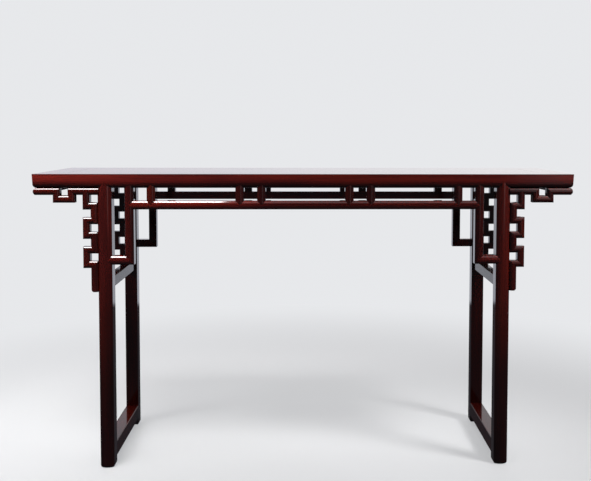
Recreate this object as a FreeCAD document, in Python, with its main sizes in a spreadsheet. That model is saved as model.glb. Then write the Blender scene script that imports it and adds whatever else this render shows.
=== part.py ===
import FreeCAD, Part
import math
import os
import re
import Sketcher

# Altar table of dark polished hardwood: a framed top on four legs set in from the ends,
# with openwork key fret brackets beside the legs and a strutted rail between them.
# X runs along the length, Y from front to back, Z up, and the origin is on the floor at the middle.

doc = FreeCAD.newDocument("AltarTable")
sheet = doc.addObject("Spreadsheet::Sheet", "Sizes")

sizes = {
    # the whole table
    "tableLength": 1563,
    "tableDepth": 420,
    "tableHeight": 860,
    # the framed top and its moulded edge
    "topThickness": 40.5,
    "faceHeight": 29.5,
    "faceLean": 1.4,
    "topArris": 1.2,
    "frameWidth": 80,
    "frameTenonWidth": 34,
    "frameTenonThickness": 12,
    "frameTenonCover": 12,
    # the floating panel and the battens under it
    "panelThickness": 14,
    "panelSeam": 0.3,
    "tongueThickness": 7,
    "tongueReach": 8,
    "grooveRoom": 1,
    "battenWidth": 36,
    "battenTenonReach": 14,
    "dovetailHeight": 4,
    "dovetailFlare": 2,
    # the legs
    "legWidth": 40,
    "legDepth": 44,
    "legCrown": 7.5,
    "legInset": 204,
    "legSetback": 1.1,
    "footRound": 6,
    "legTenonWidth": 20,
    "legTenonDepth": 16,
    "legTenonReach": 25,
    # the stretchers and runners that join each front leg to the back leg
    "stretcherWidth": 28,
    "stretcherHeight": 31,
    "stretcherDrop": 305,
    "runnerHeight": 43,
    "runnerClear": 23,
    "crossTenonReach": 22,
    "crossTenonThickness": 12,
    "crossTenonMargin": 6,
    "edgeRound": 2,
    # the rail, struts and inner brackets
    "latticeWidth": 25,
    "latticeDepth": 30,
    "latticeCrown": 5.5,
    "latticeSetback": 1.8,
    "railDrop": 90,
    "bracketReach": 70.5,
    "bracketDrop": 262.5,
    "strutPairSpacing": 62.5,
    # the key fret beside each leg and the rail that carries it out to the end
    "fretWidth": 20,
    "fretDepth": 26,
    "fretCrown": 4.5,
    "fretGap": 22.3,
    "tailDrop": 341.5,
    "tailRound": 8,
    # the joints
    "lipDepth": 8,
    "tenonSet": 11,
    "tenonThickness": 7,
    "tenonMargin": 5,
    "tenonReach": 13,
    "topTenonReach": 12,
    "mitreCover": 4,
}
fretLoops = 3
battenSteps = {"left": -1, "middle": 0, "right": 1}

for row, (word, value) in enumerate(sizes.items(), start=1):
    sheet.set(f"A{row}", word)
    sheet.set(f"B{row}", str(value))
    sheet.setAlias(f"B{row}", word)
doc.recompute()

# Places that follow from the sizes. The front left quarter is built and the rest mirrors it.
places = {
    "underside": "tableHeight - topThickness",
    "edgeQuarter": "topThickness - faceHeight",
    "front": "-tableDepth / 2",
    "leftEnd": "-tableLength / 2",
    "latticeFront": "front + latticeSetback",
    "legFront": "front + legSetback",
    "legCentre": "tableLength / 2 - legInset",
    "legOuter": "-legCentre - legWidth / 2",
    "legInner": "-legCentre + legWidth / 2",
    "stretcherTop": "tableHeight - stretcherDrop",
    "battenSpacing": "(tableLength / 2 - frameWidth) / 2",
    "fretPitch": "fretWidth + fretGap",
    "fretTop": "underside - fretWidth / 2",
    "innerColumn": "legOuter - fretWidth / 2",
    "outerColumn": "legOuter - fretGap - fretWidth / 2",
    "dipInner": "outerColumn - fretPitch",
    "dipOuter": "dipInner - fretPitch",
    "dipCentre": "underside - fretGap - fretWidth / 2",
    "tailFoot": "tableHeight - tailDrop",
    "uprightCentre": "legCentre - bracketReach",
    "upright": "-uprightCentre",
    "railCentre": "tableHeight - railDrop",
    "innerBracketFoot": "tableHeight - bracketDrop",
    "bayWidth": "(2 * uprightCentre - 4 * strutPairSpacing) / 3",
    "scribeTop": "underside + faceHeight",
    "grooveFloor": "topThickness - panelThickness",
    "legGap": "tableDepth - 2 * legSetback - 2 * legDepth",
}


def link(text):
    """Turn a formula in plain size names into one that reads the sheet."""
    def swap(found):
        word = found.group()
        if word in places:
            return f"({link(places[word])})"
        return f"Sizes.{word}" if word in sizes else word
    return re.sub(r"[A-Za-z]\w*", swap, text)


def number(text):
    return float(sheet.evalExpression(link(text)))


def bind(item, **formulas):
    for name, text in formulas.items():
        item.setExpression(name, link(text))


def place(item, x, y, z, turn=None):
    """Put a piece at a point given by formulas, turned about one axis if asked."""
    if turn:
        item.Placement = FreeCAD.Placement(FreeCAD.Vector(), FreeCAD.Rotation(*turn))
    for axis, text in (("x", x), ("y", y), ("z", z)):
        item.setExpression(f"Placement.Base.{axis}", link(text))


downward = (FreeCAD.Vector(0, 1, 0), 90)
frontward = (FreeCAD.Vector(0, 0, 1), -90)


def outline(body, name, plane, corners, arcs=None):
    """Draw a closed outline through the corners. Each arc leaves the corner with its index,
    has the given radius, and turns left, or right where its side is -1."""
    arcs = arcs or {}
    sketch = body.newObject("Sketcher::SketchObject", f"{body.Name}{name}")
    support = next(item for item in body.Origin.OriginFeatures if item.Role == plane)
    sketch.AttachmentSupport = [(support, "")]
    sketch.MapMode = "FlatFace"
    points = [FreeCAD.Vector(number(x), number(y), 0) for x, y in corners]
    count = len(points)
    edges = []
    for index, start in enumerate(points):
        end = points[(index + 1) % count]
        if index in arcs:
            radius, side = arcs[index]
            first, last = (start, end) if side > 0 else (end, start)
            chord = last - first
            toCentre = math.sqrt(max(number(radius) ** 2 - chord.Length ** 2 / 4, 0))
            normal = FreeCAD.Vector(-chord.y, chord.x, 0).normalize()
            centre = (first + last) / 2 + normal * toCentre
            circle = Part.Circle(centre, FreeCAD.Vector(0, 0, 1), number(radius))
            angles = [math.atan2(point.y - centre.y, point.x - centre.x) for point in (first, last)]
            edge = sketch.addGeometry(Part.ArcOfCircle(circle, *angles), False)
            edges.append((edge, 1, 2) if side > 0 else (edge, 2, 1))
        else:
            edges.append((sketch.addGeometry(Part.LineSegment(start, end), False), 1, 2))
    for index, (edge, begin, finish) in enumerate(edges):
        following, followingStart, _ = edges[(index + 1) % count]
        sketch.addConstraint(Sketcher.Constraint("Coincident", edge, finish, following, followingStart))
    for (edge, begin, finish), corner in zip(edges, corners):
        for kind, text in zip(("DistanceX", "DistanceY"), corner):
            rule = Sketcher.Constraint(kind, -1, 1, edge, begin, number(text))
            sketch.setExpression(f"Constraints[{sketch.addConstraint(rule)}]", link(text))
    for index, (radius, side) in arcs.items():
        rule = Sketcher.Constraint("Radius", edges[index][0], number(radius))
        sketch.setExpression(f"Constraints[{sketch.addConstraint(rule)}]", link(radius))
    return sketch


def pad(body, sketch, forward, backwardLength=None):
    feature = body.newObject("PartDesign::Pad", f"{sketch.Name}Pad")
    feature.Profile = sketch
    bind(feature, Length=forward)
    if backwardLength:
        feature.SideType = "Two sides"
        bind(feature, Length2=backwardLength)
    return feature


def pocket(body, sketch):
    """Cut the outline right through the piece, both ways from its plane."""
    feature = body.newObject("PartDesign::Pocket", f"{sketch.Name}Cut")
    feature.Profile = sketch
    feature.Type = "ThroughAll"
    feature.SideType = "Symmetric"
    return feature


def crownedSection(family):
    """Section of a moulded bar: flat back and sides, and a front that swells to the crown at zero."""
    width, depth, crown = f"{family}Width", f"{family}Depth", f"{family}Crown"
    low, high = f"-{width} / 2", f"{width} / 2"
    corners = [(crown, low), (depth, low), (depth, high), (crown, high)]
    return corners, {3: (f"({width} ^ 2 / 4 + {crown} ^ 2) / (2 * {crown})", 1)}


def endCuts(shape, family, near, far):
    """Outlines that shape one end of a bar between its last point, far, and the bar's inside, near.
    A mitre keeps the edge that it names. A point has both shoulders at 45 degrees."""
    half = f"{family}Width / 2"
    if shape == "high mitre":
        return [[(far, f"-{half}"), (far, half), (near, f"-{half}")]]
    if shape == "low mitre":
        return [[(far, half), (far, f"-{half}"), (near, half)]]
    if shape == "point":
        return [[(far, "0"), (far, side + half), (near, side + half)] for side in ("", "-")]
    return []


def bar(name, family, length, start, end):
    """A moulded bar along X from zero, its crown on Y zero and its middle on Z zero.
    Each end has a shape and the reach of its tenon past the end of the bar."""
    body = doc.addObject("PartDesign::Body", name)
    pad(body, outline(body, "Section", "YZ_Plane", *crownedSection(family)), length)
    ends = (("Start", start[0], "0", 1), ("End", end[0], length, -1))
    for label, shape, far, inward in ends:
        cutLength = f"{family}Width / 2" if shape == "point" else f"{family}Width"
        near = f"{far} + {inward} * {cutLength}"
        for index, corners in enumerate(endCuts(shape, family, near, far)):
            pocket(body, outline(body, f"{label}{index}", "XZ_Plane", corners))
        if shape == "point":
            back = f"{family}Depth"
            behind = [(far, "lipDepth"), (near, "lipDepth"), (near, back), (far, back)]
            pocket(body, outline(body, f"{label}Lip", "XY_Plane", behind))
        if shape == "plan mitre":
            planMitre(body, label, far, inward, f"{family}Depth")
    if start[1] or end[1]:
        side = f"({family}Width / 2 - tenonMargin)"
        back = "tenonSet + tenonThickness"
        corners = [("tenonSet", f"-{side}"), (back, f"-{side}"), (back, side), ("tenonSet", side)]
        inside = f"-{family}Width"
        tenon = outline(body, "Tenon", "YZ_Plane", corners)
        pad(body, tenon, f"{length} + {end[1] or inside}", start[1] or inside)
    return body


def cut(name, base, tools):
    """Take the pieces that enter a piece out of it, so that each mortise fits its tenon."""
    gathered = doc.addObject("Part::Compound", f"{name}Entering")
    gathered.Links = tools
    result = doc.addObject("Part::Cut", name)
    result.Base = base
    result.Tool = gathered
    return result


def fuse(name, pieces):
    result = doc.addObject("Part::MultiFuse", name)
    result.Shapes = pieces
    result.Refine = True
    return result


def group(name, pieces):
    result = doc.addObject("Part::Compound", name)
    result.Links = pieces
    return result


def mirrored(name, source, normal):
    result = doc.addObject("Part::Mirroring", name)
    result.Source = source
    result.Normal = normal
    return result


across = FreeCAD.Vector(1, 0, 0)
frontToBack = FreeCAD.Vector(0, 1, 0)
nodes = {}


def keep(name, item):
    item.Label = name
    nodes[name] = item
    return item


def planMitre(body, label, far, inward, depth):
    """Mitre an end in plan, so that the bar turns the corner with its moulded side outward."""
    corners = [(far, "0"), (f"{far} + {inward} * {depth}", depth), (far, depth)]
    pocket(body, outline(body, f"{label}Plan", "XY_Plane", corners))


def beam(name, family, x, z, length, start, end):
    """A level bar in the front lattice, from x to the right, with its middle at height z."""
    body = bar(name, family, length, start, end)
    place(body, x, "latticeFront", z)
    return body


def column(name, family, x, top, length, start, end):
    """An upright bar in the front lattice, from top downward, with its middle at x."""
    body = bar(name, family, length, start, end)
    place(body, x, "latticeFront", top, downward)
    return body


def box(name, x, y, z, width, depth, height):
    """A plain block from its least corner."""
    block = doc.addObject("Part::Box", name)
    bind(block, Length=width, Width=depth, Height=height)
    place(block, x, y, z)
    return block


# The top: mitred frame, floating panel and battens

def frameRail(name, length):
    """A frame rail from zero along X, outer face on Y zero. The face leans in towards a
    quarter round, and the inner side is grooved for the panel's tongue."""
    body = doc.addObject("PartDesign::Body", name)
    grooveSide = "frameWidth - tongueReach - grooveRoom"
    tongueTop = "grooveFloor + tongueThickness"
    corners = [
        ("faceLean + edgeQuarter", "0"),
        ("frameWidth", "0"),
        ("frameWidth", "grooveFloor"),
        (grooveSide, "grooveFloor"),
        (grooveSide, tongueTop),
        ("frameWidth", tongueTop),
        ("frameWidth", "topThickness"),
        ("topArris", "topThickness"),
        ("0", "topThickness - topArris"),
        ("faceLean", "edgeQuarter"),
    ]
    arcs = {7: ("topArris", 1), 9: ("edgeQuarter", 1)}
    pad(body, outline(body, "Section", "YZ_Plane", corners, arcs), length)
    planMitre(body, "Start", "0", "1", "frameWidth")
    planMitre(body, "End", length, "-1", "frameWidth")
    return body


def frameTenons(body, length):
    """Tenons that cross the mitres into the end rails, below the groove."""
    nearSide = "frameWidth / 2 - frameTenonWidth / 2"
    farSide = "frameWidth / 2 + frameTenonWidth / 2"
    low = "grooveFloor / 2 - frameTenonThickness / 2"
    high = "grooveFloor / 2 + frameTenonThickness / 2"
    corners = [(nearSide, low), (farSide, low), (farSide, high), (nearSide, high)]
    section = outline(body, "Tenon", "YZ_Plane", corners)
    pad(body, section, f"{length} - frameTenonCover", "-frameTenonCover")
    return body


def centredPlate(body, name, halfLength, halfDepth, thickness):
    corners = [
        (f"-({halfLength})", f"-({halfDepth})"),
        (halfLength, f"-({halfDepth})"),
        (halfLength, halfDepth),
        (f"-({halfLength})", halfDepth),
    ]
    return pad(body, outline(body, name, "XY_Plane", corners), thickness)


def panelBlank():
    body = doc.addObject("PartDesign::Body", "PanelBlank")
    openLength, openDepth = "tableLength / 2 - frameWidth", "tableDepth / 2 - frameWidth"
    centredPlate(body, "Field", f"{openLength} - panelSeam", f"{openDepth} - panelSeam", "panelThickness")
    tongueLength, tongueDepth = f"{openLength} + tongueReach", f"{openDepth} + tongueReach"
    centredPlate(body, "Tongue", tongueLength, tongueDepth, "tongueThickness")
    place(body, "0", "0", "tableHeight - panelThickness")
    return body


def batten(name, x):
    """A batten across the panel's underside, with a dovetail ridge that slides into the panel."""
    body = doc.addObject("PartDesign::Body", name)
    ridgeTop = "grooveFloor + dovetailHeight"
    neck, crest = "battenWidth / 4", "battenWidth / 4 + dovetailFlare"
    corners = [
        ("-battenWidth / 2", "0"),
        ("battenWidth / 2", "0"),
        ("battenWidth / 2", "grooveFloor"),
        (neck, "grooveFloor"),
        (crest, ridgeTop),
        (f"-({crest})", ridgeTop),
        (f"-({neck})", "grooveFloor"),
        ("-battenWidth / 2", "grooveFloor"),
    ]
    halfSpan = "tableDepth / 2 - frameWidth"
    pad(body, outline(body, "Section", "XZ_Plane", corners), halfSpan, halfSpan)
    crossTenon(body, "battenWidth", "grooveFloor", f"{halfSpan} + battenTenonReach")
    place(body, x, "0", "underside")
    return body


def crossTenon(body, width, height, halfLength):
    """Tenons at both ends of a piece that runs from front to back."""
    side = f"{width} / 2 - crossTenonMargin"
    low = f"{height} / 2 - crossTenonThickness / 2"
    high = f"{height} / 2 + crossTenonThickness / 2"
    corners = [(f"-({side})", low), (side, low), (side, high), (f"-({side})", high)]
    return pad(body, outline(body, "Tenon", "XZ_Plane", corners), halfLength, halfLength)


frontRailBlank = frameTenons(frameRail("FrontRailBlank", "tableLength"), "tableLength")
place(frontRailBlank, "leftEnd", "front", "underside")
backRailBlank = mirrored("BackRailBlank", frontRailBlank, frontToBack)
leftRailBlank = frameRail("LeftRailBlank", "tableDepth")
place(leftRailBlank, "leftEnd", "-front", "underside", frontward)
battens = {
    side: batten(f"{side.capitalize()}Batten", f"{steps} * battenSpacing")
    for side, steps in battenSteps.items()
}
leftEndRail = keep("top_left_end_rail", cut("LeftEndRail", leftRailBlank, [frontRailBlank, backRailBlank]))
keep("top_right_end_rail", mirrored("RightEndRail", leftEndRail, across))
keep("top_panel", cut("TopPanel", panelBlank(), list(battens.values())))
for side, piece in battens.items():
    keep(f"panel_batten_{side}", piece)


# Joints between the uprights and the moulded edge of the top

def scribed(name, piece, x, y, tenonWidth, tenonDepth, tenonReach):
    """Shape an upright's head to the moulded edge above it and give it a tenon into the frame."""
    fitted = cut(f"{name}Scribed", piece, [frontRailBlank])
    left = f"{x} - ({tenonWidth}) / 2"
    base = f"underside - {tenonReach}"
    tenon = box(f"{name}Tenon", left, y, base, tenonWidth, tenonDepth, f"2 * {tenonReach}")
    return fuse(name, [fitted, tenon])


def latticeUpright(name, x, foot, end):
    """An upright of the lattice that hangs from the frame down to its foot."""
    piece = column(f"{name}Bar", "lattice", x, "scribeTop", f"scribeTop - ({foot})", ("square", None), end)
    width = "latticeWidth - 2 * tenonMargin"
    return scribed(name, piece, x, "latticeFront + tenonSet", width, "tenonThickness", "topTenonReach")


# The rail under the top, its struts and the bracket between each leg and the rail

pointReach = "tenonReach - latticeWidth / 2"
fretPointReach = "tenonReach - fretWidth / 2"
mitreReach = "-mitreCover"

strutPlaces = [
    "upright + strutPairSpacing",
    "upright + strutPairSpacing + bayWidth",
    "upright + 2 * strutPairSpacing + bayWidth",
]
leftStruts = [
    latticeUpright(f"Strut{index}", x, "railCentre", ("point", pointReach))
    for index, x in enumerate(strutPlaces, start=1)
]
rightStruts = [
    mirrored(f"Strut{index}", strut, across)
    for index, strut in zip((6, 5, 4), leftStruts)
]
point = ("point", pointReach)
railBar = beam("LowerRailBar", "lattice", "upright", "railCentre", "2 * uprightCentre", point, point)
lowerRail = cut("LowerRail", railBar, leftStruts + rightStruts)

bracketFoot = beam(
    "BracketFoot", "lattice", "legInner - latticeWidth / 2", "innerBracketFoot + latticeWidth / 2",
    "upright - legInner + latticeWidth", point, ("low mitre", mitreReach),
)
uprightBlank = latticeUpright("UprightBlank", "upright", "innerBracketFoot", ("high mitre", None))
leftUpright = cut("LeftUpright", uprightBlank, [railBar, bracketFoot])


# The key fret bracket outside each leg, and the rail that carries it out to the end

fretRun = "fretPitch + fretWidth"
fretLevels = [f"fretTop - {level} * fretPitch" for level in range(2 * fretLoops)]


def fretBeam(name, level, outward, inward):
    """A short level piece of the fret, from the outer column to the leg."""
    x = "outerColumn - fretWidth / 2"
    return beam(name, "fret", x, level, "fretPitch", (outward, mitreReach), (inward, mitreReach))


def fretColumn(name, x, level, shape, entering):
    """A short upright piece of the fret, mitred to the level pieces above and below it."""
    ends = (shape, None)
    piece = column(f"{name}Bar", "fret", x, f"{level} + fretWidth / 2", fretRun, ends, ends)
    return cut(name, piece, entering)


def keyFret():
    """The fret from the rail down to its last level piece, as separate mitred pieces."""
    beams = [
        fretBeam(f"FretBeam{index}", level, *mitres)
        for index, (level, mitres) in enumerate(zip(fretLevels[1:], fretMitres()), start=1)
    ]
    hanger = column(
        "FretHangerBar", "fret", "outerColumn", "fretTop", "fretPitch + fretWidth / 2",
        ("point", fretPointReach), ("low mitre", None),
    )
    columns = [cut("FretHanger", hanger, beams[:1])]
    for index in range(1, len(beams)):
        inner = index % 2 == 1
        x, shape = ("innerColumn", "high mitre") if inner else ("outerColumn", "low mitre")
        entering = beams[index - 1:index + 1]
        columns.append(fretColumn(f"FretColumn{index}", x, fretLevels[index], shape, entering))
    return hanger, beams, columns


def fretMitres():
    """Which edges the level pieces keep at their outer and inner ends, from the top down."""
    while True:
        yield "low mitre", "high mitre"
        yield "high mitre", "low mitre"


def roundedTail(lastBeam):
    """The last upright, which runs down beside the leg and ends in a rounded corner."""
    top = f"{fretLevels[-1]} + fretWidth / 2"
    length = f"{top} - tailFoot"
    ends = ("high mitre", None), ("square", None)
    piece = column("FretTailBar", "fret", "innerColumn", top, length, *ends)
    outer = "-fretWidth / 2"
    corners = [
        (f"{length} - tailRound", outer),
        (length, outer),
        (length, f"{outer} + tailRound"),
    ]
    pocket(piece, outline(piece, "Round", "XZ_Plane", corners, {2: ("tailRound", -1)}))
    return cut("FretTail", piece, [lastBeam])


hanger, fretBeams, fretColumns = keyFret()
fretTail = roundedTail(fretBeams[-1])

apronEnd = ("plan mitre", mitreReach)
endApron = bar("EndApron", "fret", "tableDepth - 2 * latticeSetback", apronEnd, apronEnd)
place(endApron, "leftEnd + latticeSetback", "-latticeFront", "fretTop", frontward)

railEnd = "leftEnd + latticeSetback"
outerRailBar = beam(
    "OuterRailBar", "fret", railEnd, "fretTop", f"dipOuter + fretWidth / 2 - ({railEnd})",
    ("plan mitre", None), ("high mitre", mitreReach),
)
outerRail = cut("OuterRail", outerRailBar, [endApron])
innerRailBar = beam(
    "InnerRailBar", "fret", "dipInner - fretWidth / 2", "fretTop", "legOuter - dipInner + fretWidth / 2",
    ("high mitre", mitreReach), ("square", "tenonReach"),
)
innerRail = cut("InnerRail", innerRailBar, [hanger])
dipBeam = beam(
    "DipBeam", "fret", "dipOuter - fretWidth / 2", "dipCentre", fretRun,
    ("low mitre", mitreReach), ("low mitre", mitreReach),
)


def dipColumn(name, x, top, bottom, entering):
    """One of the two uprights of the small frame that dips below the overhanging rail."""
    piece = column(f"{name}Bar", "fret", x, "underside", "fretGap + fretWidth", (top, None), (bottom, None))
    return cut(name, piece, entering)


dipFrame = group("DipFrame", [
    dipColumn("DipOuterColumn", "dipOuter", "high mitre", "low mitre", [outerRail, dipBeam]),
    dipBeam,
    dipColumn("DipInnerColumn", "dipInner", "low mitre", "high mitre", [innerRail, dipBeam]),
])
fretGroup = group("KeyFret", fretColumns + fretBeams)


# The legs, and the stretcher and runner that join each pair from front to back

def roundedBeam(name, width, height, z, tenonReach):
    """A rounded rail between the front and back leg, with tenons into both."""
    body = doc.addObject("PartDesign::Body", name)
    side, near = f"{width} / 2", f"{width} / 2 - edgeRound"
    low, high = "edgeRound", f"{height} - edgeRound"
    corners = [
        (f"-({near})", "0"), (near, "0"), (side, low), (side, high),
        (near, height), (f"-({near})", height), (f"-({side})", high), (f"-({side})", low),
    ]
    arcs = {index: ("edgeRound", 1) for index in (1, 3, 5, 7)}
    pad(body, outline(body, "Section", "XZ_Plane", corners, arcs), "legGap / 2", "legGap / 2")
    crossTenon(body, width, height, f"legGap / 2 + {tenonReach}")
    place(body, "-legCentre", "0", z)
    return body


def roundedFoot(body, length):
    """Round the foot's lower edges on all four sides. The foot stands at the bar's far end."""
    near = f"{length} - footRound"
    faces = (
        ("Width", "XZ_Plane", "-legWidth / 2", "legWidth / 2"),
        ("Depth", "XY_Plane", "0", "legDepth"),
    )
    for name, plane, low, high in faces:
        for label, side, inner, turn in (
            ("Low", low, f"{low} + footRound", -1),
            ("High", high, f"{high} - footRound", 1),
        ):
            corners = [(near, side), (length, side), (length, inner)]
            pocket(body, outline(body, f"Foot{name}{label}", plane, corners, {2: ("footRound", turn)}))


leftStretcher = roundedBeam(
    "LeftStretcher", "stretcherWidth", "stretcherHeight", "stretcherTop - stretcherHeight",
    "crossTenonReach",
)
leftRunner = roundedBeam("LeftRunner", "legWidth", "runnerHeight", "runnerClear", "crossTenonReach")

legBar = bar("LegBar", "leg", "scribeTop", ("square", None), ("square", None))
roundedFoot(legBar, "scribeTop")
place(legBar, "-legCentre", "legFront", "scribeTop", downward)
legBlank = scribed(
    "LegBlank", legBar, "-legCentre", "legFront + legDepth / 2 - legTenonDepth / 2",
    "legTenonWidth", "legTenonDepth", "legTenonReach",
)
leg = cut("Leg", legBlank, [innerRail, bracketFoot, leftStretcher, leftRunner])


# The four quarters: every piece of the front left one, mirrored across and to the back

quarter = {
    "leg": leg,
    "bracket_upright": leftUpright,
    "bracket_foot": bracketFoot,
    "overhang_rail": outerRail,
    "dip_frame": dipFrame,
    "fret_rail": innerRail,
    "key_fret": fretGroup,
    "fret_tail": fretTail,
}
rightQuarter = {}
for name, piece in quarter.items():
    rightQuarter[name] = mirrored(f"Right{piece.Name}", piece, across)
    keep(f"front_left_{name}", piece)
    keep(f"front_right_{name}", rightQuarter[name])
    keep(f"back_left_{name}", mirrored(f"BackLeft{piece.Name}", piece, frontToBack))
    keep(f"back_right_{name}", mirrored(f"BackRight{piece.Name}", rightQuarter[name], frontToBack))

keep("front_lower_rail", lowerRail)
keep("back_lower_rail", mirrored("BackLowerRail", lowerRail, frontToBack))
struts = leftStruts + rightStruts[::-1]
for index, strut in enumerate(struts, start=1):
    keep(f"front_strut_{index}", strut)
    keep(f"back_strut_{index}", mirrored(f"BackStrut{index}", strut, frontToBack))

crossPieces = {"end_apron": endApron, "side_stretcher": leftStretcher, "base_runner": leftRunner}
for name, piece in crossPieces.items():
    keep(f"left_{name}", piece)
    keep(f"right_{name}", mirrored(f"Right{piece.Name}", piece, across))

uprights = [leg, rightQuarter["leg"], leftUpright, rightQuarter["bracket_upright"]]
frontRail = cut("FrontRail", frontRailBlank, uprights + struts + list(battens.values()))
keep("top_front_rail", frontRail)
keep("top_back_rail", mirrored("BackRail", frontRail, frontToBack))


# Check every object, then write one file for each piece

doc.recompute()
for item in doc.Objects:
    if {"Invalid", "Error"} & set(item.State):
        raise RuntimeError(f"{item.Name} did not build")
for name, piece in nodes.items():
    if piece.Shape.isNull() or not piece.Shape.isValid():
        raise RuntimeError(f"{name} has no sound shape")

os.makedirs("parts", exist_ok=True)
for name, piece in nodes.items():
    piece.Shape.exportStep(f"parts/{name}.step")
    print(name, len(piece.Shape.Solids), round(piece.Shape.Volume))
print(len(nodes), "nodes")
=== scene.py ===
import math
import random
import bpy
import bmesh
from mathutils import Matrix, Vector


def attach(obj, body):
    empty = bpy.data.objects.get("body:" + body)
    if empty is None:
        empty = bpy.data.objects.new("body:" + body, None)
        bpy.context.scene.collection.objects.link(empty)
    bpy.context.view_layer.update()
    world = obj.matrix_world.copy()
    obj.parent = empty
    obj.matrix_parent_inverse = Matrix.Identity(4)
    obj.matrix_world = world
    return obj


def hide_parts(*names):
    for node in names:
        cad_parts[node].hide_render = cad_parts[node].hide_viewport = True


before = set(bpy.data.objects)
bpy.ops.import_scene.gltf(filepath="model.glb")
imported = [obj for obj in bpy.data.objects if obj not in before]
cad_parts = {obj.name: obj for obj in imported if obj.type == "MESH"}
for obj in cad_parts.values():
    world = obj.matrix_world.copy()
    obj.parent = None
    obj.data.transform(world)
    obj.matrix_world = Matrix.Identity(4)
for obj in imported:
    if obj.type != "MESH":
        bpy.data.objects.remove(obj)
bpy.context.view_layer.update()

# Altar table in dark lacquered hardwood. Every member is its own board with eased edges,
# shaped and placed as the solids are, in metres: X along the length, Y to the back, Z up.

tableHeight = 0.860       # every height is taken down from it
draw = random.Random(7)   # each board's place in the log and its tone
onX, onY = Matrix.Scale(-1, 4, (1, 0, 0)), Matrix.Scale(-1, 4, (0, 1, 0))
downward = Matrix.Rotation(math.radians(90), 4, "Y")
frontward = Matrix.Rotation(math.radians(-90), 4, "Z")


# shader building

class Wire:
    # a socket that can be used in a Python expression
    def __init__(self, paint, socket):
        self.paint, self.socket = paint, socket

    def join(self, operation, first, second):
        return self.paint.node("ShaderNodeMath", {"operation": operation}, {0: first, 1: second})

    def __add__(self, other):
        return self.join("ADD", self, other)

    __radd__ = __add__

    def __mul__(self, other):
        return self.join("MULTIPLY", self, other)

    __rmul__ = __mul__

    def __sub__(self, other):
        return self.join("SUBTRACT", self, other)

    def __rsub__(self, other):
        return self.join("SUBTRACT", other, self)

    def __truediv__(self, other):
        return self.join("DIVIDE", self, other)

    def __pow__(self, other):
        return self.join("POWER", self, other)


class Paint:
    # a material or world being wired up
    def __init__(self, owner):
        owner.use_nodes = True
        self.tree = owner.node_tree
        self.tree.nodes.clear()

    def node(self, kind, settings=None, sockets=None, output=0):
        # its settings are made first, then its sockets' values and links
        made = self.tree.nodes.new(kind)
        for word, value in (settings or {}).items():
            if word == "stops":
                fillRamp(made.color_ramp, value)
            else:
                setattr(made, word, value)
        for key, value in (sockets or {}).items():
            if isinstance(value, Wire):
                self.tree.links.new(value.socket, made.inputs[key])
            else:
                made.inputs[key].default_value = value
        return Wire(self, made.outputs[output]) if made.outputs else made

    def vector(self, operation, *inputs, output=0):
        return self.node("ShaderNodeVectorMath", {"operation": operation}, dict(enumerate(inputs)), output)

    def noise(self, vector, by, detail=3.0, roughness=0.5, output=0):
        return self.node("ShaderNodeTexNoise", {}, {
            "Vector": self.vector("MULTIPLY", vector, by), "Scale": 1.0,
            "Detail": detail, "Roughness": roughness}, output)

    def band(self, value, low, high):
        # 0 up to low, 1 from high on, smooth between; low may be the greater
        return self.node("ShaderNodeMapRange", {"interpolation_type": "SMOOTHSTEP"}, {
            "Value": value, "From Min": low, "From Max": high})

    def blend(self, share, first, second, how="MIX"):
        return self.node("ShaderNodeMix", {"data_type": "RGBA", "blend_type": how}, {
            0: share, 6: first, 7: second}, 2)


def fillRamp(ramp, stops):
    while len(ramp.elements) < len(stops):
        ramp.elements.new(0.5)
    for element, (place, colour) in zip(ramp.elements, stops):
        element.position, element.color = place, colour


# lacquered hardwood

woodLook = {
    "shadow": (0.042, 0.0044, 0.0042, 1),    # darkest streaks, plum brown
    "heart": (0.118, 0.0092, 0.0064, 1),     # the body of the wood
    "glow": (0.205, 0.0150, 0.0076, 1),      # the lit red brown between the streaks
    "amber": (0.310, 0.0380, 0.0125, 1),     # few lightest streaks
    "pore": (0.018, 0.0032, 0.0030, 1),
    "rubbed": (0.300, 0.0450, 0.0220, 1),    # where hands have thinned the lacquer on the edges
    "depth": 1.0,                            # how light the colour is, 1 on the top's boards; values below 1 are painted shade that darkens copies of the same wood
    "stops": (0.24, 0.38, 0.50, 0.66),       # where the figure reaches shadow, heart, glow and amber
    "cloud": (2.2, 14.0, 14.0),              # each pattern's repeats in a metre, along and across the grain
    "streak": (1.8, 95.0, 95.0),
    "fine": (6.0, 560.0, 560.0),
    "pores": (95.0, 2100.0, 2100.0),
    "wander": (1.5, 5.0, 5.0),
    "wanderReach": 0.055,
    "pith": (0.0, 0.035, -0.07),             # from the log's centre to the board
    "ringSpacing": 0.0062,
    "cloudShare": 0.56,                      # what each pattern adds to the figure
    "streakShare": 0.22,
    "fineShare": 0.10,
    "ringShare": 0.040,
    "toneShare": 0.07,
    "poreShare": 0.45,                       # how strongly pores and rubbed edges show
    "rubShare": 0.30,
    "fibre": 0.12,                           # share of light that the fibres send back in their own colour
    "roughness": 0.46,
    "coat": 1.0,
    "coatRoughness": 0.07,
    "coatIor": 1.55,
    "poreDepth": 0.0003,
    "poreRelief": 0.12,
    "paintedShade": [],                             # painted shade by height: from height, to height, least share
}


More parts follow.
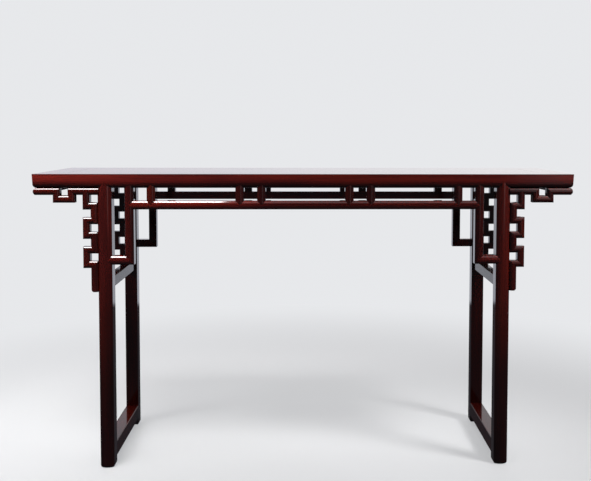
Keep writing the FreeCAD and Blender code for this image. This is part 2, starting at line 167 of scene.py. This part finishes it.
def lacqueredWood(name, changes=None):
    look = {**woodLook, **(changes or {})}
    stained = {part: [value * look["depth"] for value in look[part][:3]] + [1]
               for part in ("shadow", "heart", "glow", "amber", "pore", "rubbed")}
    material = bpy.data.materials.new(name)
    paint = Paint(material)
    grain = paint.node("ShaderNodeAttribute", {"attribute_name": "grain"}, output=1)
    tone = paint.node("ShaderNodeAttribute", {"attribute_name": "tone"}, output=2)
    rub = paint.node("ShaderNodeAttribute", {"attribute_name": "rub"}, output=2)

    # the board wanders slowly through the log
    wander = paint.noise(grain, look["wander"], 2.0, output=1)
    wander = paint.vector("SUBTRACT", wander, (0.5, 0.5, 0.5))
    bent = paint.vector("MULTIPLY_ADD", wander, (0.0, look["wanderReach"], look["wanderReach"]), grain)
    fromPith = paint.vector("MULTIPLY_ADD", bent, (0.0, 1.0, 1.0), look["pith"])
    radius = paint.vector("LENGTH", fromPith, output=1)

    streak = paint.noise(bent, look["streak"], 3.0, 0.55)
    fine = paint.noise(bent, look["fine"], 4.0, 0.6)
    cloud = paint.noise(grain, look["cloud"], 2.0)
    phase = radius * (2 * math.pi / look["ringSpacing"]) + streak * 5.0
    rings = paint.node("ShaderNodeMath", {"operation": "SINE"}, {0: phase}) * 0.5 + 0.5
    rings = rings ** 2.2
    pores = paint.band(paint.noise(bent, look["pores"], 1.0), 0.60, 0.70)

    # the stain follows the figure, and handling has thinned it on the edges
    figure = cloud * look["cloudShare"] + streak * look["streakShare"] + fine * look["fineShare"]
    figure = figure - rings * look["ringShare"] + (tone - 0.5) * look["toneShare"]
    ramp = list(zip(look["stops"], [stained[part] for part in ("shadow", "heart", "glow", "amber")]))
    colour = paint.node("ShaderNodeValToRGB", {"stops": ramp}, {0: figure})
    colour = paint.blend(pores * look["poreShare"], colour, stained["pore"])
    worn = rub * paint.band(cloud * 0.6 + fine * 0.4, 0.42, 0.62)
    colour = paint.blend(worn * look["rubShare"], colour, stained["rubbed"])
    place = paint.node("ShaderNodeTexCoord", output=3)
    height = paint.node("ShaderNodeSeparateXYZ", {}, {0: place}, 2)
    # painted shade: darken the colour between two heights
    for dark, clear, least in look["paintedShade"]:
        colour = paint.blend(1.0, colour, paint.band(height, dark, clear) * (1 - least) + least, "MULTIPLY")

    roughness = cloud * 0.10 + fine * 0.08 + pores * 0.08 + worn * 0.08 + (look["roughness"] - 0.08)
    relief = streak * 0.35 + fine * 0.25 - pores * 0.9
    bump = paint.node("ShaderNodeBump", {}, {
        "Strength": look["poreRelief"], "Distance": look["poreDepth"], "Height": relief})
    shader = paint.node("ShaderNodeBsdfPrincipled", {}, {
        "Base Color": colour, "Roughness": roughness, "Specular IOR Level": 0.0, "Normal": bump,
        "Metallic": look["fibre"],
        "Coat Weight": look["coat"], "Coat Roughness": look["coatRoughness"],
        "Coat IOR": look["coatIor"]})
    paint.node("ShaderNodeOutputMaterial", {}, {0: shader})
    return material


# painted shade: the top's front darkens towards its rounded lower edge, and its upper face is darker than
# its front
boardPaintedShade = [(tableHeight - 0.032, tableHeight - 0.014, 0.20),
              (tableHeight - 0.0003, tableHeight - 0.0015, 0.36)]
# one wood in copies: the depths of the panel, legs, rails, uprights, frets and cross pieces are painted
# shade, which makes each of these parts darker than the top's front by how the light falls on it
woods = {
    "board": lacqueredWood("board_lacquer", {"coat": 0.9, "paintedShade": boardPaintedShade}),
    "panel": lacqueredWood("panel_lacquer", {"ringSpacing": 0.0085, "coat": 0.9, "depth": 0.36}),
    # painted shade: the legs darken towards their feet
    "leg": lacqueredWood("leg_lacquer", {"depth": 0.42, "paintedShade": [(0.22, 0.72, 0.18)]}),
    "rail": lacqueredWood("rail_lacquer", {"depth": 0.62}),
    "upright": lacqueredWood("upright_lacquer", {"depth": 0.25}),
    "fret": lacqueredWood("fret_lacquer", {"depth": 0.22}),
    "cross": lacqueredWood("cross_lacquer", {"depth": 0.14, "coat": 0.6}),
    "under": lacqueredWood("under_lacquer", {"depth": 0.5, "coat": 0.35, "roughness": 0.5}),
}
print("woods mixed:", len(woods))


# shaping one board

shaping = {
    "crownSteps": 12,               # facets across a moulded face
    "arris": 0.0008,                # easing of a board's long edges
    "arrisSteps": 3,
    "seam": 0.0002,                 # easing where two boards meet, which leaves a fine joint line
    "sharp": math.radians(26),      # edges that are eased
    "creased": math.radians(34),    # edges that stay crisp in the shading
    "faceWeight": 80,               # how far large faces lead the shading
    "housing": 0.003,               # how far a square end goes into the board that receives it
    "log": ((0, 9), (-0.04, 0.04), (-0.03, 0.03)),  # what boards are cut from, along, across and in depth
    "tones": (0.2, 0.8),
}


def newBoard():
    board = bmesh.new()
    board.verts.layers.float_vector.new("grain")
    board.verts.layers.float.new("tone")
    board.verts.layers.float.new("rub")
    return board


def closeOutline(board, loop):
    # edges from each corner to the next
    for first, second in zip(loop, loop[1:]):
        board.edges.new((first, second))


def sweep(board, length):
    # fill the outline and draw it out along X
    face = bmesh.ops.contextual_create(board, geom=board.edges[:])["faces"]
    drawn = bmesh.ops.extrude_face_region(board, geom=face)["geom"]
    moved = [item for item in drawn if isinstance(item, bmesh.types.BMVert)]
    bmesh.ops.translate(board, verts=moved, vec=(length, 0, 0))
    bmesh.ops.recalc_face_normals(board, faces=board.faces)


def crownedBoard(size, length):
    # flat back and sides, and a front that swells to the crown on Y zero
    half, crown = size["width"] / 2, size["crown"]
    radius = (half ** 2 + crown ** 2) / (2 * crown)
    board = newBoard()
    low = board.verts.new((0, crown, -half))
    arc = bmesh.ops.spin(board, geom=[low], cent=(0, radius, 0), axis=(-1, 0, 0),
                         angle=2 * math.asin(half / radius), steps=shaping["crownSteps"])
    high = arc["geom_last"][0]
    back = [board.verts.new((0, size["depth"], side * half)) for side in (1, -1)]
    closeOutline(board, [high, *back, low])
    sweep(board, length)
    return board


def trim(board, point, normal):
    # cut off what lies beyond the plane and close the cut
    cut = bmesh.ops.bisect_plane(board, geom=board.verts[:] + board.edges[:] + board.faces[:],
                                 plane_co=point, plane_no=normal, clear_outer=True)["geom_cut"]
    rim = [item for item in cut if isinstance(item, bmesh.types.BMEdge)]
    bmesh.ops.contextual_create(board, geom=rim)


def endPlanes(shape, size, far, out):
    # planes that shape an end at X far, whose outward direction along X is out; a square end needs none
    half, depth = size["width"] / 2, size["depth"]
    if shape == "high mitre":
        return [((far, 0, half), (out, 0, -1))]
    if shape == "low mitre":
        return [((far, 0, -half), (out, 0, 1))]
    if shape == "plan mitre":
        return [((far, 0, 0), (out, 1, 0))]
    if shape == "point":
        lip = size["lip"]
        under = ((far, lip, 0), (out * (depth - lip), half, 0))
        return [((far, 0, 0), (out, 0, 1)), ((far, 0, 0), (out, 0, -1)), under]
    return []


def easeEdges(board, seamNormals, arris=None):
    # round the long edges, then the edges of the joints
    normals = [Vector(normal).normalized() for normal in seamNormals]
    rub = board.verts.layers.float["rub"]

    def split():
        ends = {face for face in board.faces if any(face.normal.dot(normal) > 0.999 for normal in normals)}
        sharp = [edge for edge in board.edges if edge.calc_face_angle(0) > shaping["sharp"]]
        seams = [edge for edge in sharp if any(face in ends for face in edge.link_faces)]
        return [edge for edge in sharp if edge not in set(seams)], seams

    edges, _ = split()
    made = bmesh.ops.bevel(board, geom=edges, offset=arris or shaping["arris"], offset_type="OFFSET",
                           segments=shaping["arrisSteps"], profile=0.5, affect="EDGES", material=-1,
                           clamp_overlap=True)
    strips = set(made["faces"])
    for vert in made["verts"]:
        if all(face in strips for face in vert.link_faces):
            vert[rub] = 1
    _, edges = split()
    if edges:
        bmesh.ops.bevel(board, geom=edges, offset=shaping["seam"], offset_type="OFFSET",
                        segments=1, profile=0.5, affect="EDGES", material=-1, clamp_overlap=True)


def sealBoard(board):
    # give the board its own place in the log, and its own tone
    grain, tone = board.verts.layers.float_vector["grain"], board.verts.layers.float["tone"]
    shift = Vector([draw.uniform(*span) for span in shaping["log"]])
    shade = draw.uniform(*shaping["tones"])
    for vert in board.verts:
        vert[grain] = vert.co + shift
        vert[tone] = shade
    return board


def member(size, length, start, end, x, y, z, turn=None):
    # a moulded board with both ends shaped, put in place
    board = crownedBoard(size, length)
    planes = endPlanes(start, size, 0, -1) + endPlanes(end, size, length, 1)
    for point, normal in planes:
        trim(board, point, normal)
    easeEdges(board, [normal for _, normal in planes])
    sealBoard(board)
    return put(board, x, y, z, turn)


def put(board, x, y, z, turn=None):
    bmesh.ops.transform(board, matrix=Matrix.Translation((x, y, z)) @ (turn or Matrix()), verts=board.verts)
    return board


def level(size, x, z, length, start, end, y):
    return member(size, length, start, end, x, y, z)


def hanging(size, x, headZ, length, start, end, y):
    return member(size, length, start, end, x, y, headZ, downward)


def piece(node, boards, wood, flips=()):
    # join the boards, mirror them into place and let them stand for the solid
    whole = bmesh.new()
    for board in boards:
        for flip in flips:
            bmesh.ops.transform(board, matrix=flip, verts=board.verts)
        if len(flips) % 2:
            bmesh.ops.reverse_faces(board, faces=board.faces)
        part = bpy.data.meshes.new("part")
        board.to_mesh(part)
        board.free()
        whole.from_mesh(part)
        bpy.data.meshes.remove(part)
    name = "".join(word.capitalize() for word in node.split("_"))
    mesh = bpy.data.meshes.new(name)
    whole.to_mesh(mesh)
    whole.free()
    mesh.shade_smooth()
    mesh.set_sharp_from_angle(angle=shaping["creased"])
    made = bpy.data.objects.new(name, mesh)
    bpy.context.scene.collection.objects.link(made)
    weighted = made.modifiers.new("faces", "WEIGHTED_NORMAL")
    weighted.keep_sharp = True
    weighted.weight = shaping["faceWeight"]
    mesh.materials.append(woods[wood])
    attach(made, "root")
    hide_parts(node)
    return made


# the top

top = {
    "length": 1.563, "depth": 0.420, "height": tableHeight, "thickness": 0.0405,
    "faceHeight": 0.0295, "faceLean": 0.0014, "arris": 0.00096, "quarterSteps": 8,
    "frameWidth": 0.080, "panelThickness": 0.014, "panelSeam": 0.0003, "panelArris": 0.0005,
    "battenWidth": 0.036, "battenArris": 0.0012,
}
top["underside"] = top["height"] - top["thickness"]


def frameRail(length):
    # a leaning face over a quarter round, mitred in plan at both ends
    quarter = top["thickness"] - top["faceHeight"]
    board = newBoard()
    low = board.verts.new((0, top["faceLean"], quarter))
    arc = bmesh.ops.spin(board, geom=[low], cent=(0, top["faceLean"] + quarter, quarter), axis=(1, 0, 0),
                         angle=math.pi / 2, steps=top["quarterSteps"])
    foot = arc["geom_last"][0]
    width, thickness = top["frameWidth"] - top["panelSeam"] / 2, top["thickness"]
    rest = [board.verts.new((0, y, z)) for y, z in ((width, 0), (width, thickness), (0, thickness))]
    closeOutline(board, [foot, *rest, low])
    sweep(board, length)
    planes = [((0, 0, 0), (-1, 1, 0)), ((length, 0, 0), (1, 1, 0))]
    for point, normal in planes:
        trim(board, point, normal)
    easeEdges(board, [normal for _, normal in planes], arris=top["arris"])
    return sealBoard(board)


def slab(length, depth, height, arris):
    board = newBoard()
    bmesh.ops.create_cube(board, size=1)
    bmesh.ops.scale(board, vec=(length, depth, height), verts=board.verts)
    easeEdges(board, [], arris=arris)
    return sealBoard(board)


longRail, endRail = top["length"], top["depth"]
railX, railY = -top["length"] / 2, -top["depth"] / 2
for row, flips in (("front", []), ("back", [onY])):
    rail = put(frameRail(longRail), railX, railY, top["underside"])
    piece(f"top_{row}_rail", [rail], "board", flips)
for side, flips in (("left", []), ("right", [onX])):
    rail = put(frameRail(endRail), railX, -railY, top["underside"], frontward)
    piece(f"top_{side}_end_rail", [rail], "board", flips)
fieldLength = top["length"] - 2 * top["frameWidth"] - top["panelSeam"]
fieldDepth = top["depth"] - 2 * top["frameWidth"] - top["panelSeam"]
panel = slab(fieldLength, fieldDepth, top["panelThickness"], top["panelArris"])
piece("top_panel", [put(panel, 0, 0, top["height"] - top["panelThickness"] / 2)], "panel")
battenHeight = top["thickness"] - top["panelThickness"]
for side, steps in (("left", -1), ("middle", 0), ("right", 1)):
    # grain runs along X in every board, so a batten is made lengthwise and turned
    board = slab(fieldDepth, top["battenWidth"], battenHeight, top["battenArris"])
    x = steps * (top["length"] / 2 - top["frameWidth"]) / 2
    piece(f"panel_batten_{side}", [put(board, x, 0, top["underside"] + battenHeight / 2, frontward)],
          "under")
print("top framed")


# legs, stretchers and runners

leg = {
    "width": 0.040, "depth": 0.044, "crown": 0.0075, "inset": 0.204, "setback": 0.0011,
    "footRound": 0.006, "footSteps": 5, "head": 0.020,
}
legCentre = top["length"] / 2 - leg["inset"]
legOuter, legInner = -legCentre - leg["width"] / 2, -legCentre + leg["width"] / 2
legFront = -top["depth"] / 2 + leg["setback"]
legGap = top["depth"] - 2 * (leg["setback"] + leg["depth"])


def legBoard():
    # the head runs up behind the moulded edge, and the foot is rounded on all sides
    straight = top["underside"] + leg["head"] - leg["footRound"]
    board = crownedBoard(leg, straight)
    easeEdges(board, [])
    foot = [face for face in board.faces if face.normal.x > 0.99]
    middle = Vector((0, leg["depth"] / 2, 0))
    reach, share = 0, 1
    for step in range(1, leg["footSteps"] + 1):
        angle = math.pi / 2 * step / leg["footSteps"]
        drawn = bmesh.ops.extrude_face_region(board, geom=foot)["geom"]
        bmesh.ops.delete(board, geom=foot, context="FACES")
        foot = [item for item in drawn if isinstance(item, bmesh.types.BMFace)]
        rim = [item for item in drawn if isinstance(item, bmesh.types.BMVert)]
        nextReach = leg["footRound"] * math.sin(angle)
        nextShare = 1 - leg["footRound"] * (1 - math.cos(angle)) / (leg["width"] / 2)
        bmesh.ops.translate(board, verts=rim, vec=(nextReach - reach, 0, 0))
        bmesh.ops.scale(board, vec=(1, nextShare / share, nextShare / share), verts=rim,
                        space=Matrix.Translation(-middle))
        reach, share = nextReach, nextShare
    return put(sealBoard(board), -legCentre, legFront, top["underside"] + leg["head"], downward)


cross = {
    "stretcherWidth": 0.028, "stretcherHeight": 0.031, "stretcherTop": 0.555,
    "runnerHeight": 0.043, "runnerClear": 0.023, "edgeRound": 0.002,
}


def crossBoard(width, height, low):
    board = slab(legGap + 2 * shaping["housing"], width, height, cross["edgeRound"])
    return put(board, -legCentre, 0, low + height / 2, frontward)


for side, flips in (("left", []), ("right", [onX])):
    stretcherLow = cross["stretcherTop"] - cross["stretcherHeight"]
    stretcher = crossBoard(cross["stretcherWidth"], cross["stretcherHeight"], stretcherLow)
    piece(f"{side}_side_stretcher", [stretcher], "cross", flips)
    runner = crossBoard(leg["width"], cross["runnerHeight"], cross["runnerClear"])
    piece(f"{side}_base_runner", [runner], "cross", flips)
print("cross pieces set")


# rail, struts and inner brackets

lattice = {
    "width": 0.025, "depth": 0.030, "crown": 0.0055, "lip": 0.008, "setback": 0.0018,
    "railDrop": 0.090, "bracketReach": 0.0705, "bracketDrop": 0.2625, "pair": 0.0625, "head": 0.012,
}
latticeFront = -top["depth"] / 2 + lattice["setback"]
uprightX = -(legCentre - lattice["bracketReach"])
railZ = top["height"] - lattice["railDrop"]
bay = (-2 * uprightX - 4 * lattice["pair"]) / 3
strutX = [uprightX + lattice["pair"], uprightX + lattice["pair"] + bay, uprightX + 2 * lattice["pair"] + bay]


def latticeUpright(x, foot, end):
    head = top["underside"] + lattice["head"]
    return hanging(lattice, x, head, head - foot, "square", end, latticeFront)


def bracketUpright():
    return latticeUpright(uprightX, top["height"] - lattice["bracketDrop"], "high mitre")


def bracketFoot():
    x = legInner - lattice["width"] / 2
    z = top["height"] - lattice["bracketDrop"] + lattice["width"] / 2
    return level(lattice, x, z, uprightX - legInner + lattice["width"], "point", "low mitre", latticeFront)


for row, rowFlips in (("front", []), ("back", [onY])):
    rail = level(lattice, uprightX, railZ, -2 * uprightX, "point", "point", latticeFront)
    piece(f"{row}_lower_rail", [rail], "rail", rowFlips)
    for index, x in enumerate(strutX + [-x for x in reversed(strutX)], start=1):
        strut = latticeUpright(x, railZ, "point")
        piece(f"{row}_strut_{index}", [strut], "upright", rowFlips)
print("rails and struts set")


# key fret brackets and the rails that carry them

fret = {
    "width": 0.020, "depth": 0.026, "crown": 0.0045, "lip": 0.008, "gap": 0.0223,
    "loops": 3, "tailDrop": 0.3415, "tailRound": 0.008, "tailSteps": 6,
}
pitch = fret["width"] + fret["gap"]
fretTop = top["underside"] - fret["width"] / 2
innerX = legOuter - fret["width"] / 2
outerX = innerX - fret["gap"]
dipX = (outerX - pitch, outerX - 2 * pitch)
run = pitch + fret["width"]
levels = [fretTop - step * pitch for step in range(2 * fret["loops"])]


def keyFret():
    # the square wave beside the leg, as separate mitred boards
    boards = [hanging(fret, outerX, fretTop, pitch + fret["width"] / 2, "point", "low mitre", latticeFront)]
    shapes = [("low mitre", "high mitre"), ("high mitre", "low mitre")]
    for index, z in enumerate(levels[1:]):
        boards.append(level(fret, outerX - fret["width"] / 2, z, pitch, *shapes[index % 2], latticeFront))
    for index, z in enumerate(levels[1:-1]):
        x, shape = (innerX, "high mitre") if index % 2 == 0 else (outerX, "low mitre")
        boards.append(hanging(fret, x, z + fret["width"] / 2, run, shape, shape, latticeFront))
    return boards


def fretTail():
    # the last upright, with its outer lower corner rounded
    topZ = levels[-1] + fret["width"] / 2
    length = topZ - (top["height"] - fret["tailDrop"])
    board = crownedBoard(fret, length)
    mitre = endPlanes("high mitre", fret, 0, -1)
    for point, normal in mitre:
        trim(board, point, normal)
    centre = Vector((length - fret["tailRound"], 0, fret["tailRound"] - fret["width"] / 2))
    for step in range(1, fret["tailSteps"]):
        angle = math.pi / 2 * step / fret["tailSteps"]
        out = Vector((math.cos(angle), 0, -math.sin(angle)))
        trim(board, centre + out * fret["tailRound"], out)
    easeEdges(board, [mitre[0][1]])
    sealBoard(board)
    return put(board, innerX, latticeFront, topZ, downward)


def overhangRail():
    x = -top["length"] / 2 + lattice["setback"]
    return level(fret, x, fretTop, dipX[1] + fret["width"] / 2 - x, "plan mitre", "high mitre", latticeFront)


def fretRail():
    x = dipX[0] - fret["width"] / 2
    return level(fret, x, fretTop, legOuter - x + shaping["housing"], "high mitre", "square", latticeFront)


def dipFrame():
    z = top["underside"] - fret["gap"] - fret["width"] / 2
    drop = fret["gap"] + fret["width"]
    return [
        hanging(fret, dipX[1], top["underside"], drop, "high mitre", "low mitre", latticeFront),
        level(fret, dipX[1] - fret["width"] / 2, z, run, "low mitre", "low mitre", latticeFront),
        hanging(fret, dipX[0], top["underside"], drop, "low mitre", "high mitre", latticeFront),
    ]


# what each corner of the table has: its boards, their wood and the slot
quarters = {
    "leg": (lambda: [legBoard()], "leg", "leg_wood"),
    "bracket_upright": (lambda: [bracketUpright()], "upright", "upright_wood"),
    "bracket_foot": (lambda: [bracketFoot()], "rail", "level_wood"),
    "overhang_rail": (lambda: [overhangRail()], "fret", "level_wood"),
    "dip_frame": (dipFrame, "fret", "level_wood"),
    "fret_rail": (lambda: [fretRail()], "fret", "level_wood"),
    "key_fret": (keyFret, "fret", "fret_wood"),
    "fret_tail": (lambda: [fretTail()], "fret", "upright_wood"),
}
for row, rowFlips in (("front", []), ("back", [onY])):
    for side, sideFlips in (("left", []), ("right", [onX])):
        for part, (build, wood, slotName) in quarters.items():
            piece(f"{row}_{side}_{part}", build(), wood, rowFlips + sideFlips)
for side, flips in (("left", []), ("right", [onX])):
    apron = member(fret, top["depth"] - 2 * lattice["setback"], "plan mitre", "plan mitre",
                   -top["length"] / 2 + lattice["setback"], -latticeFront, fretTop, frontward)
    piece(f"{side}_end_apron", [apron], "fret", flips)
print("legs and brackets set")


# room, light and camera

studio = {
    "background": (0.80, 0.81, 0.83, 1),
    "floor": (0.42, 0.42, 0.425, 1),
    "floorMottle": (0.55, 0.55, 0.56, 1),
    "mottleShare": 0.08,
    "floorRoughness": 0.65,
    "floorGlow": 0.5,                            # share of the background in the floor near the table
    "glowBand": (0.9, 2.2),                      # how far out the floor becomes the background
    "floorBounce": (0.035, 0.035, 0.035, 1),     # the floor as the wood is lit by it
    "floorMirrored": (0.060, 0.057, 0.066, 1),   # what the lacquer mirrors of the floor
    "floorGlare": (0.75, 0.70, 0.73, 1),         # and of its bright part, far in front on the right
    "glareBeside": (1.7, 2.6),
    "glareAhead": (3.0, 9.0),
    "glareSlant": (0.32, 0.35, 0.41, 0.48),      # metres to the right for each metre ahead
    "floorReach": 14.0,
    "wallBand": (2.1, 2.3),                      # where the mirrored floor ends at the wall behind
    "wallLeft": (0.80, 0.83, 0.92, 1),
    "wallRight": (1.15, 1.15, 1.16, 1),
    "roomLeft": (0.02, 0.02, 0.025, 1),          # the mirrored room in front of the table
    "roomRight": (1.10, 1.02, 1.06, 1),
    "ceiling": (0.95, 0.90, 0.94, 1),
    "ambient": (0.035, 0.035, 0.037, 1),         # light from all round
    # where one side of the room passes into the next, as parts of a unit direction
    "wallTurn": (-0.5, 0.5), "roomTurn": (0.18, 0.34), "wallRise": (0.0, 0.6),
    "ceilingRise": (0.45, 0.75), "zenithRise": (0.88, 0.97),
    "unmirrored": ("overhead",),                 # lamps that the lacquer doesn't mirror
    "lamps": {
        # place, aim, width, height, power, spread in degrees
        # key draws the bright strips on the left rails, fill lights the right leg and overhead the floor
        "key": ((-1.15, -1.12, 2.60), (-1.12, -0.20, 0.80), 1.45, 0.62, 16.5, 54),
        "side": ((-2.20, -1.10, 2.50), (-0.70, -0.20, 0.66), 0.8, 0.8, 3.0, 44),
        "fill": ((1.90, -1.10, 2.50), (0.62, -0.20, 0.40), 0.6, 0.8, 4.0, 30),
        "panel": ((1.55, -1.12, 2.60), (0.70, -0.20, 0.80), 0.7, 0.62, 2.6, 160),
        "back": ((0.70, 2.70, 2.10), (0.0, 0.2, 0.55), 1.8, 1.2, 8.0, 120),
        "overhead": ((0.0, 1.20, 3.40), (0.0, 1.2001, 0.0), 5.0, 3.0, 100.0, 180),
    },
}


def floorPaint():
    # pale and lit for the camera, and dark where the lacquer mirrors it, up to the wall behind
    material = bpy.data.materials.new("studio_floor")
    paint = Paint(material)
    place = paint.node("ShaderNodeTexCoord", output=3)
    distance = paint.vector("LENGTH", place, output=1)
    beside, behind = (paint.node("ShaderNodeSeparateXYZ", {}, {0: place}, output) for output in (0, 1))
    cameraRay, diffuseRay, glossyRay = (
        paint.node("ShaderNodeLightPath", output=output) for output in (0, 2, 3))
    mottle = paint.noise(place, (3.0, 3.0, 3.0))
    tint = paint.blend(mottle * studio["mottleShare"], studio["floor"], studio["floorMottle"])
    tint = paint.blend(diffuseRay, tint, studio["floorBounce"])
    lit = paint.node("ShaderNodeBsdfPrincipled", {}, {
        "Base Color": tint, "Roughness": studio["floorRoughness"]})
    far = paint.node("ShaderNodeEmission", {}, {0: studio["background"], 1: 1.0})
    glow = paint.band(distance, *studio["glowBand"]) * (1 - studio["floorGlow"]) + studio["floorGlow"]
    shown = paint.node("ShaderNodeMixShader", {}, {0: glow * cameraRay, 1: lit, 2: far})

    wall = paint.band(behind, *studio["wallBand"])
    ahead = 0 - behind
    slant = beside / ahead
    lowest, low, high, highest = studio["glareSlant"]
    glare = paint.band(beside, *studio["glareBeside"]) * paint.band(ahead, *studio["glareAhead"])
    glare = glare * paint.band(slant, lowest, low) * paint.band(slant, highest, high)
    mirrored = paint.blend(glare, studio["floorMirrored"], studio["floorGlare"])
    mirrored = paint.blend(wall, mirrored, studio["wallLeft"])
    reflection = paint.node("ShaderNodeEmission", {}, {0: mirrored, 1: 1.0})
    mixed = paint.node("ShaderNodeMixShader", {}, {0: glossyRay, 1: shown, 2: reflection})
    paint.node("ShaderNodeOutputMaterial", {}, {0: mixed})
    return material


floorMesh = bmesh.new()
bmesh.ops.create_grid(floorMesh, x_segments=2, y_segments=2, size=studio["floorReach"])
mesh = bpy.data.meshes.new("floor")
floorMesh.to_mesh(mesh)
floorMesh.free()
floor = bpy.data.objects.new("floor", mesh)
bpy.context.scene.collection.objects.link(floor)
mesh.materials.append(floorPaint())


def roomPaint():
    # the camera sees the background, the lacquer mirrors a room, and the wood is lit weakly from all round
    world = bpy.data.worlds.new("studio")
    paint = Paint(world)
    towards = paint.node("ShaderNodeTexCoord")
    toRight, toWall, toCeiling = (
        paint.node("ShaderNodeSeparateXYZ", {}, {0: towards}, output) for output in (0, 1, 2))
    cameraRay, glossyRay = (paint.node("ShaderNodeLightPath", output=output) for output in (0, 3))
    wall = paint.blend(paint.band(toRight, *studio["wallTurn"]), studio["wallLeft"], studio["wallRight"])
    room = paint.blend(paint.band(toRight, *studio["roomTurn"]), studio["roomLeft"], studio["roomRight"])
    around = paint.blend(paint.band(toWall, *studio["wallRise"]), room, wall)
    around = paint.blend(paint.band(toCeiling, *studio["ceilingRise"]), around, studio["ceiling"])
    around = paint.blend(paint.band(toCeiling, *studio["zenithRise"]), around, studio["ambient"])
    seen = paint.node("ShaderNodeBackground", {}, {0: studio["background"], 1: 1.0})
    around = paint.blend(glossyRay, studio["ambient"], around)
    felt = paint.node("ShaderNodeBackground", {}, {0: around, 1: 1.0})
    both = paint.node("ShaderNodeMixShader", {}, {0: cameraRay, 1: felt, 2: seen})
    paint.node("ShaderNodeOutputWorld", {}, {0: both})
    return world


bpy.context.scene.world = roomPaint()
for name, (at, aim, width, height, power, spread) in studio["lamps"].items():
    lamp = bpy.data.lights.new(name, "AREA")
    lamp.shape = "RECTANGLE"
    lamp.size, lamp.size_y = width, height
    lamp.energy = power
    lamp.spread = math.radians(spread)
    softbox = bpy.data.objects.new(name, lamp)
    bpy.context.scene.collection.objects.link(softbox)
    softbox.location = at
    softbox.visible_glossy = name not in studio["unmirrored"]
    softbox.rotation_euler = (Vector(aim) - Vector(at)).to_track_quat("-Z", "Y").to_euler()

viewpoint = {
    "at": (-0.00081, -2.71074, 0.98722), "yaw": 0.0311, "pitch": 0.0551, "roll": 0.0021,
    # in pixels of the photograph: focal length, the point the lens looks at, and the picture's size
    "focal": 868.40, "middle": (332.14, 177.91), "picture": (591, 481),
    "sensor": 36.0,
}
yaw, pitchDown, roll = viewpoint["yaw"], viewpoint["pitch"], viewpoint["roll"]
flat = math.cos(pitchDown)
forward = Vector((math.sin(yaw) * flat, math.cos(yaw) * flat, -math.sin(pitchDown)))
right = Vector((math.cos(yaw), -math.sin(yaw), 0))
up = right.cross(forward)
rolledRight = math.cos(roll) * right + math.sin(roll) * up
rolledUp = math.cos(roll) * up - math.sin(roll) * right
wide, high = viewpoint["picture"]
lens = bpy.data.cameras.new("camera")
lens.sensor_width = viewpoint["sensor"]
lens.lens = viewpoint["focal"] * viewpoint["sensor"] / wide
lens.shift_x = (wide / 2 - viewpoint["middle"][0]) / wide
lens.shift_y = (viewpoint["middle"][1] - high / 2) / wide
camera = bpy.data.objects.new("camera", lens)
bpy.context.scene.collection.objects.link(camera)
turned = Matrix((rolledRight, rolledUp, -forward)).transposed().to_4x4()
camera.matrix_world = Matrix.Translation(viewpoint["at"]) @ turned
bpy.context.scene.camera = camera
bpy.context.scene.view_settings.view_transform = "Standard"
print("studio ready")
